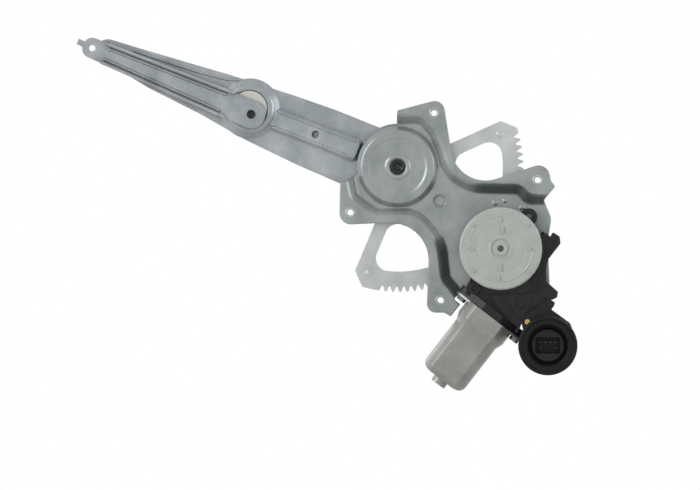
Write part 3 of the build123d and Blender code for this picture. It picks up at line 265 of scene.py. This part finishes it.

# Rolled rims of the four threaded ears: the sheet is drawn into a collar and tapped, which leaves a
# raised ring round each hole and thread crests inside it. The rings get a lighter zinc than the plate
# as a painted highlight.
ear_holes = [(0.0285, 0.0417), (0.1088, -0.0105), (-0.0367, -0.0355), (0.0335, -0.1037)]
ear_front = -0.0086
bore = 0.00251
crest_radius = 0.00235
crest_half = 0.0003
first_crest = 0.0012
crest_pitch = 0.0008
rims = bmesh.new()
for ear in ear_holes:
    lathe(rims, [(bore, ear_front + 0.0006), (0.0026, ear_front - 0.0001),
                 (0.0030, ear_front - 0.0003), (0.0036, ear_front - 0.00028),
                 (0.0041, ear_front + 0.0001)], ear, 40)
    for crest in range(4):
        level = ear_front + first_crest + crest_pitch * crest
        lathe(rims, [(bore, level - crest_half), (crest_radius, level), (bore, level + crest_half)],
              ear, 40)
# Lighter tones than the plate's: a painted highlight on the rounded rims.
rim_zinc_painted_highlight = zinc_plated_sheet("zinc_plated_rolled_rim", "#A4AAA8", "#B8BDBB", 0.28)
finished_piece("ear_rims", rims, rim_zinc_painted_highlight, "base", "zinc_steel")

# Stiffening pips of the plate: three small domes pressed up round the motor's opening.
# Each stands 0.6 mm above the web and runs out just under its face.
pip_top = -0.0022
pip_foot = -0.0015
pips = bmesh.new()
for across, up, radius in ((0.0757, -0.0281, 0.0026), (0.0835, -0.0263, 0.0022),
                           (0.0967, -0.0318, 0.0024)):
    lathe(pips, [(0.0, pip_top), (radius * 0.45, -0.00215), (radius * 0.8, -0.0019),
                 (radius, pip_foot)], (across, up), 24)
finished_piece("plate_pips", pips, plate_zinc, "base", "zinc_steel")


# Main pivot: a turned steel pin, upset in the pot and oiled, dark in its hollow end.
# The other shafts and pins of the part come off the same kind of lathe.
def turned_steel(name, dark, light, roughness):
    """Free-cutting steel off the lathe: streaks of about 1 mm under a film of oil."""
    material, tree, output, where = new_material(name)
    streaks = noise(tree, where, 0.0012, 3.0)
    bumps = relief(tree, streaks, 0.00003, 0.3, soft_edges(tree, 0.0003))
    finish(tree, output, two_tones(tree, streaks, dark, light),
           {"Metallic": 1.0, "Roughness": roughness, "Normal": bumps})
    return material


pin_metal = turned_steel("oiled_turned_steel", "#3C3F3E", "#6E7270", 0.34)
dress(pin_metal, "pivot_pin", "spring_post", "output_shaft", "drive_pinion", "worm_shaft")

# Upset end of the pin: a swaged lip with a dark greased hollow, where the tool struck it.
# The lip closes over the floor of the pot.
main_pivot = (0.0, 0.0)
swage = bmesh.new()
lathe(swage, [(0.0, -0.0040), (0.0018, -0.0041), (0.0027, -0.0044), (0.0032, -0.0052),
              (0.0040, -0.0055), (0.0050, -0.0053), (0.0058, -0.0046), (0.0060, -0.0042)],
      main_pivot, 48)
greased = turned_steel("greased_swaged_steel", "#1E2120", "#454947", 0.22)
finished_piece("pin_swage", swage, greased, "base", "pin_steel")

# Collar of the pot round the pin: the floor is coined up into a low round bead,
# about 1 mm high and 5 mm wide.
collar = bmesh.new()
lathe(collar, [(0.0061, -0.0041), (0.0066, -0.0049), (0.0076, -0.0053), (0.0088, -0.0052),
               (0.0098, -0.0047), (0.0106, -0.0041)], main_pivot, 64)
finished_piece("pot_collar", collar, plate_zinc, "base", "zinc_steel")


# Balance spring: a flat strip of blued spring steel behind the pot, wound three and
# a half turns. It shows only from behind and between the layers.
def blued_steel():
    """Tempered strip, nearly black with a blue cast, drawn smooth along its length."""
    material, tree, output, where = new_material("blued_spring_strip")
    finish(tree, output, two_tones(tree, noise(tree, where, 0.008, 3.0), "#2A2C33", "#4A4D57"),
           {"Metallic": 1.0, "Roughness": 0.33})
    return material


dress(blued_steel(), "balance_spring")

# Lift arm and sector gear: pressed and blanked steel, the arm a little bluer and the
# gear brighter, because it is thicker plate with a coarser, barrel-plated zinc.
# The arm's folds and overlaps take a deeper painted shade than the plate's, down to half its tone.
arm_zinc = zinc_plated_sheet("zinc_plated_arm", "#8B9296", "#A9AFB3", 0.29, 0.0012, 0.5)
gear_zinc = zinc_plated_sheet("barrel_plated_gear", "#AAAFAE", "#C6CAC9", 0.36, 0.0003)
dress(arm_zinc, "lift_arm", "equalizer_front_arm", "equalizer_rear_arm")
dress(gear_zinc, "sector_gear", "arm_rivets", "equalizer_hub")

# Soft rolls of the lift arm's pressing: the rim round the cross pivot is turned over in a
# round ridge, the bead's two shoulders stand up in low ridges, and one more runs along
# the blade above the front arm. Places are millimetres along and across the arm.
arm_turn = math.radians(158.4)
cross_reach = 0.125
cross_pivot = (cross_reach * math.cos(arm_turn), cross_reach * math.sin(arm_turn))


def on_arm(along, across):
    """A place in the frame, from millimetres along the lift arm and below its line."""
    return ((along * math.cos(arm_turn) - across * math.sin(arm_turn)) / 1000,
            (along * math.sin(arm_turn) + across * math.cos(arm_turn)) / 1000)


arm_rolls = bmesh.new()
lathe(arm_rolls, [(0.01405, 0.0006), (0.0143, -0.0001), (0.0149, -0.00042), (0.0158, -0.0005),
                  (0.0167, -0.00038), (0.0176, -0.0001), (0.0186, 0.0005), (0.0198, 0.0014),
                  (0.0200, 0.0018)], cross_pivot, 96)
bead_top = 0.0018
blade_face = 0.0045
roll_width = 0.0020
roll_rise = 0.0006
upper_shoulder = ((38, -6.5), (60, -6.4), (103, -6.1))
lower_shoulder = ((38, 6.9), (60, 6.4), (103, 6.9))
blade_ridge = ((138, -19.0), (150, -14.5), (172, -11.8), (200, -10.0), (228, -8.6))
for course, level in ((upper_shoulder, bead_top), (lower_shoulder, bead_top),
                      (blade_ridge, blade_face)):
    for first, last in zip(course, course[1:]):
        raised_rib(arm_rolls, on_arm(*first), on_arm(*last), roll_width,
                   level + roll_rise, level - roll_rise, roll_rise)
finished_piece("lift_arm_rolls", arm_rolls, arm_zinc, "lift", "arm_steel")

# Locating dimples of the sector, struck from behind near the two ends of its toothed
# rim. They stand 0.7 mm above its front face.
dimples = bmesh.new()
sector_front = 0.0065
for across, up in ((0.0792, 0.0257), (-0.0230, -0.0827)):
    lathe(dimples, [(0.0, sector_front - 0.0007), (0.0013, sector_front - 0.0006),
                    (0.0024, sector_front - 0.0003), (0.0030, sector_front + 0.0001)],
          (across, up), 32)
finished_piece("sector_dimples", dimples, gear_zinc, "lift", "gear_steel")


# Bushes and bearings: sintered bronze, dull and soaked in oil. They sit round the pins
# and shafts, so little more than their rims ever shows.
def sintered_bronze():
    """Pressed bronze powder: open pores of about 0.3 mm, brown with oil."""
    material, tree, output, where = new_material("sintered_bronze")
    finish(tree, output, two_tones(tree, noise(tree, where, 0.0003, 2.0), "#7A5A2E", "#B08A4C"),
           {"Metallic": 1.0, "Roughness": 0.5})
    return material


dress(sintered_bronze(), "pivot_bush", "output_bush", "shaft_bearings")


# Cross pivot and rollers: natural nylon, moulded, creamy and slightly translucent.
# The rollers are a shade lighter, because they are new and run dry.
def natural_nylon(name, dark, light):
    """Undyed polyamide: soft sheen, faint flow marks of about 4 mm."""
    material, tree, output, where = new_material(name)
    finish(tree, output, two_tones(tree, noise(tree, where, 0.004, 3.0), dark, light),
           {"Roughness": 0.42, "IOR": 1.53, "Subsurface Weight": 0.12,
            "Subsurface Scale": 0.001, "Normal": soft_edges(tree, 0.0004)})
    return material


dress(natural_nylon("natural_nylon", "#C9C9BE", "#D6D6CC"), "pivot_disc", "worm_wheel")
dress(natural_nylon("roller_nylon", "#D3D1C4", "#DFDDD2"), "lift_arm_roller", "equalizer_roller")
dress(pin_metal, "lift_arm_roller_pin", "equalizer_roller_pin")


# Gear case: a black glass-filled moulding with ribs, screw bosses and clips for the
# wiring. Its face has a fine spark-eroded texture and shows a weak grey sheen.
def glass_filled_plastic(name, dark, light, roughness):
    """Black PBT with glass: spark-eroded face, grain of about 0.4 mm."""
    material, tree, output, where = new_material(name)
    grain = noise(tree, where, 0.0004, 3.0)
    flow = noise(tree, where, 0.012, 4.0)
    bumps = relief(tree, grain, 0.00004, 0.5, soft_edges(tree, 0.0004))
    finish(tree, output, two_tones(tree, flow, dark, light),
           {"Roughness": roughness, "Specular IOR Level": 0.36, "Normal": bumps})
    return material


case_black = glass_filled_plastic("black_glass_filled_pbt", "#0A0A0B", "#121213", 0.4)
dress(case_black, "gear_case", "brush_holder")

# Ribs and bosses of the case's face, moulded in one with it. Two of the bosses have
# blind holes for screws, and the ribs run from the cap to the boot and the can.
case_level = -0.027
boss_foot = case_level + 0.002
case_details = bmesh.new()
raised_disc(case_details, (0.0608, -0.0941), 0.0046, boss_foot, case_level - 0.0025, 0.0026)
raised_disc(case_details, (0.1087, -0.0879), 0.0044, boss_foot, case_level - 0.0020, 0.0026)
raised_disc(case_details, (0.0960, -0.1070), 0.0026, boss_foot, case_level - 0.0012)
case_rib_width = 0.0012
for start, end in (((0.0640, -0.0985), (0.0985, -0.0985)), ((0.0985, -0.0985), (0.1150, -0.0925)),
                   ((0.0705, -0.0995), (0.0905, -0.1235)), ((0.0800, -0.0990), (0.0955, -0.1180)),
                   ((0.0935, -0.0990), (0.0890, -0.1130)), ((0.1170, -0.0560), (0.1120, -0.0900)),
                   ((0.1225, -0.0560), (0.1165, -0.0700)), ((0.1000, -0.1130), (0.1160, -0.1010))):
    raised_rib(case_details, start, end, case_rib_width, case_level + 0.001, case_level - 0.0012)
finished_piece("case_details", case_details, case_black, "base", "black_plastic")

# Rolled lips of the equalizer's front arm: the sheet's edges are rolled over, and a flute
# runs along the floor beside each, so light catches in lines along the arm.
arm_root = Vector((-0.1147, 0.0, 0.0413))
arm_end = Vector((-0.2399, 0.0, 0.0936))
arm_course = arm_end - arm_root
arm_normal = Vector((arm_course.z, 0.0, -arm_course.x)).normalized()
lip_start, lip_stop = 0.17, 0.91
root_half_width, end_half_width = 0.0108, 0.0084
edge_roll = (0.0008, -0.0045, -0.0060)
floor_flute = (0.0040, -0.0022, -0.0032)
lip_width, lip_ease = 0.0023, 0.0007
lips = bmesh.new()
for side in (-1, 1):
    for setback, foot, top in (edge_roll, floor_flute):
        first = arm_root + arm_course * lip_start + side * arm_normal * (root_half_width - setback)
        last = arm_root + arm_course * lip_stop + side * arm_normal * (end_half_width - setback)
        raised_rib(lips, (first.x, first.z), (last.x, last.z), lip_width, foot, top, lip_ease)
finished_piece("arm_lip_rolls", lips, arm_zinc, "equalizer", "arm_steel")

# Hollow rivet at the front arm's root, dark inside, that holds the arm on the hub.
# Its rim is spread outward and lies on the arm's floor.
rivet = bmesh.new()
lathe(rivet, [(0.0, -0.0010), (0.0019, -0.0010), (0.0021, -0.0025), (0.0026, -0.0028),
              (0.0033, -0.0027), (0.0036, -0.0023)], (arm_root.x, arm_root.z), 32)
finished_piece("root_rivet", rivet, greased, "equalizer", "pin_steel")

# End of the wheel's axle, dark with oil, at the bottom of the recess in the middle of
# the cap. It is read from the dark spot in the photograph.
cap_centre = (0.080810, -0.063591)
cap_front = -0.0355
axle_end = bmesh.new()
lathe(axle_end, [(0.0, cap_front + 0.0017), (0.0009, cap_front + 0.0017),
                 (0.0017, cap_front + 0.0020), (0.0021, cap_front + 0.0024)], cap_centre, 32)
finished_piece("axle_end", axle_end, pin_metal, "base", "pin_steel")

# Gear cap: a pale moulded cover snapped over the case. Its face carries fine turned
# rings, a raised hub round the recess, and short flow ribs between the rings.
# The profile gives each ring's radius and its depth behind the cap's front.
cap_profile = [(0.0, 0.0024), (0.0020, 0.0024), (0.0026, 0.0009), (0.0030, 0.0005),
               (0.0042, 0.0001), (0.0050, 0.0003), (0.0056, 0.0010), (0.0068, 0.0014),
               (0.0076, 0.0004), (0.0082, 0.0), (0.0087, 0.0003), (0.0098, 0.0006),
               (0.0140, 0.0006), (0.0176, 0.0006), (0.0182, 0.0008), (0.0190, 0.0008),
               (0.0196, 0.0006), (0.0243, 0.0006), (0.0248, 0.0003), (0.0254, 0.0003),
               (0.0259, 0.0007), (0.0267, 0.0007), (0.0273, 0.0005), (0.0304, 0.0006),
               (0.0312, 0.0011), (0.0317, 0.0020), (0.0318, 0.0030), (0.0318, 0.0055),
               (0.0305, 0.0055), (0.0292, 0.0055), (0.0292, 0.0026), (0.0200, 0.0026),
               (0.0, 0.0026)]
cap_rib_width = 0.0018
cap = bmesh.new()
lathe(cap, [(radius, cap_front + depth) for radius, depth in cap_profile], cap_centre, 128)
for angle, inner, outer in ((84, 0.0115, 0.0172), (90, 0.0205, 0.0238), (270, 0.0115, 0.0172),
                            (266, 0.0203, 0.0240), (0, 0.0203, 0.0238), (180, 0.0203, 0.0238),
                            (40, 0.0265, 0.0288), (140, 0.0265, 0.0288), (220, 0.0265, 0.0288),
                            (320, 0.0265, 0.0288)):
    outward = (math.cos(math.radians(angle)), math.sin(math.radians(angle)))
    raised_rib(cap, (cap_centre[0] + inner * outward[0], cap_centre[1] + inner * outward[1]),
               (cap_centre[0] + outer * outward[0], cap_centre[1] + outer * outward[1]),
               cap_rib_width, cap_front + 0.0009, cap_front - 0.0005)


def pale_cap_plastic():
    """Pale grey polyacetal: satin, with faint flow marks round the gate."""
    material, tree, output, where = new_material("pale_grey_acetal")
    flow = noise(tree, where, 0.009, 4.0)
    grain = noise(tree, where, 0.0005, 2.0)
    finish(tree, output, two_tones(tree, flow, "#A9AFA9", "#BCC2BC"),
           {"Roughness": 0.26, "IOR": 1.48, "Normal": relief(tree, grain, 0.00003, 0.4)})
    return material


cap_plastic = pale_cap_plastic()
dress(cap_plastic, "gear_cap")
finished_piece("moulded_cap", cap, cap_plastic, "base", "cap_plastic", "gear_cap")

# Fasteners: dark oiled screws into the case from behind, grey zinc ones through the
# motor's flange, and one small brass screw by the boot.
screw_zinc = turned_steel("zinc_plated_screw_steel", "#5C605E", "#868B89", 0.3)
dress(screw_zinc, "can_screws")
dress(pin_metal, "motor_mount_screws")


def bright_brass(name, dark, light):
    """Plated brass: bright, slightly streaked by the tool."""
    material, tree, output, where = new_material(name)
    finish(tree, output, two_tones(tree, noise(tree, where, 0.001, 2.0), dark, light),
           {"Metallic": 1.0, "Roughness": 0.25})
    return material


dress(bright_brass("bright_brass", "#B89B58", "#D9C58A"), "sealing_screw", "commutator")
# The contact pins get dark tones as painted shade, for the depth of the boot they sit in.
dress(bright_brass("contact_brass_painted_dark_as_shade", "#3A3833", "#5E5B54"), "connector_pins")

# Connector: a black moulding, smoother than the case, deep inside the boot. Hardly any light falls
# on it there, and its colour is made darker than the case's as painted shade.
dress(glass_filled_plastic("black_connector_pbt_painted_shade", "#050505", "#090909", 0.5), "connector_body")

motor_lean = math.radians(-52.3)


def along_motor(tree, where, size):
    """Coordinates turned along the motor's axis, in units of a size."""
    return add_node(tree, "ShaderNodeMapping",
                    {"Vector": where, "Rotation": (0, motor_lean, 0), "Scale": size},
                    {"vector_type": "TEXTURE"}).outputs[0]


# Motor can: deep-drawn steel with a thin warm grey zinc coat, scuffed along the draw.
# Its flat sides and rounded shoulders keep a soft shine.
def drawn_can_steel():
    """Faint draw marks run along the can, about 1 mm apart and 40 mm long."""
    material, tree, output, where = new_material("deep_drawn_coated_steel")
    marks = noise(tree, along_motor(tree, where, (0.04, 0.001, 0.001)), 1.0, 2.0)
    clouds = noise(tree, where, 0.014, 4.0)
    both = add_node(tree, "ShaderNodeMath", {0: marks, 1: 0.2, 2: clouds},
                    {"operation": "MULTIPLY_ADD"}).outputs[0]
    bumps = relief(tree, marks, 0.00002, 0.2, soft_edges(tree, 0.0009, 6))
    finish(tree, output, two_tones(tree, ramp(tree, both, 0.35, 0.85), "#868783", "#9D9E99"),
           {"Metallic": 0.6, "Roughness": 0.38, "Normal": bumps})
    return material


dress(drawn_can_steel(), "motor_can")


# Inside the can: dark pressed ferrite, stacked core plates, varnished copper, carbon.
# Nothing of these shows while the motor is closed.
def dark_stack(name, dark, light, metallic, layer):
    """A dark inner part, banded along the motor's axis where it is stacked or wound."""
    material, tree, output, where = new_material(name)
    bands = noise(tree, along_motor(tree, where, (layer, 0.01, 0.01)), 1.0, 1.0)
    finish(tree, output, two_tones(tree, bands, dark, light),
           {"Metallic": metallic, "Roughness": 0.5})
    return material


dress(dark_stack("pressed_ferrite", "#242426", "#3A3A3D", 0.0, 0.004), "motor_magnets")
dress(dark_stack("core_plates", "#4A4C4D", "#7B7D7E", 1.0, 0.0006), "armature_core")
dress(dark_stack("varnished_copper_wire", "#6E3A1C", "#B4683A", 1.0, 0.0005), "armature_coils")
dress(dark_stack("pressed_carbon", "#1C1C1D", "#2E2E30", 0.0, 0.001), "brushes")


# Connector boot and wheel damper: black EPDM rubber, moulded and dull, with a faint
# dusty bloom.
def moulded_rubber():
    """EPDM: no gloss, a bloom in patches of about 8 mm and a fine grain of 0.5 mm."""
    material, tree, output, where = new_material("black_epdm_rubber")
    bloom = noise(tree, where, 0.008, 4.0)
    grain = noise(tree, where, 0.0005, 2.0)
    finish(tree, output, two_tones(tree, bloom, "#0E0E0F", "#19191A"),
           {"Roughness": 0.5, "Specular IOR Level": 0.2, "Normal": relief(tree, grain, 0.00004, 0.4)})
    return material


dress(moulded_rubber(), "connector_boot", "wheel_damper")
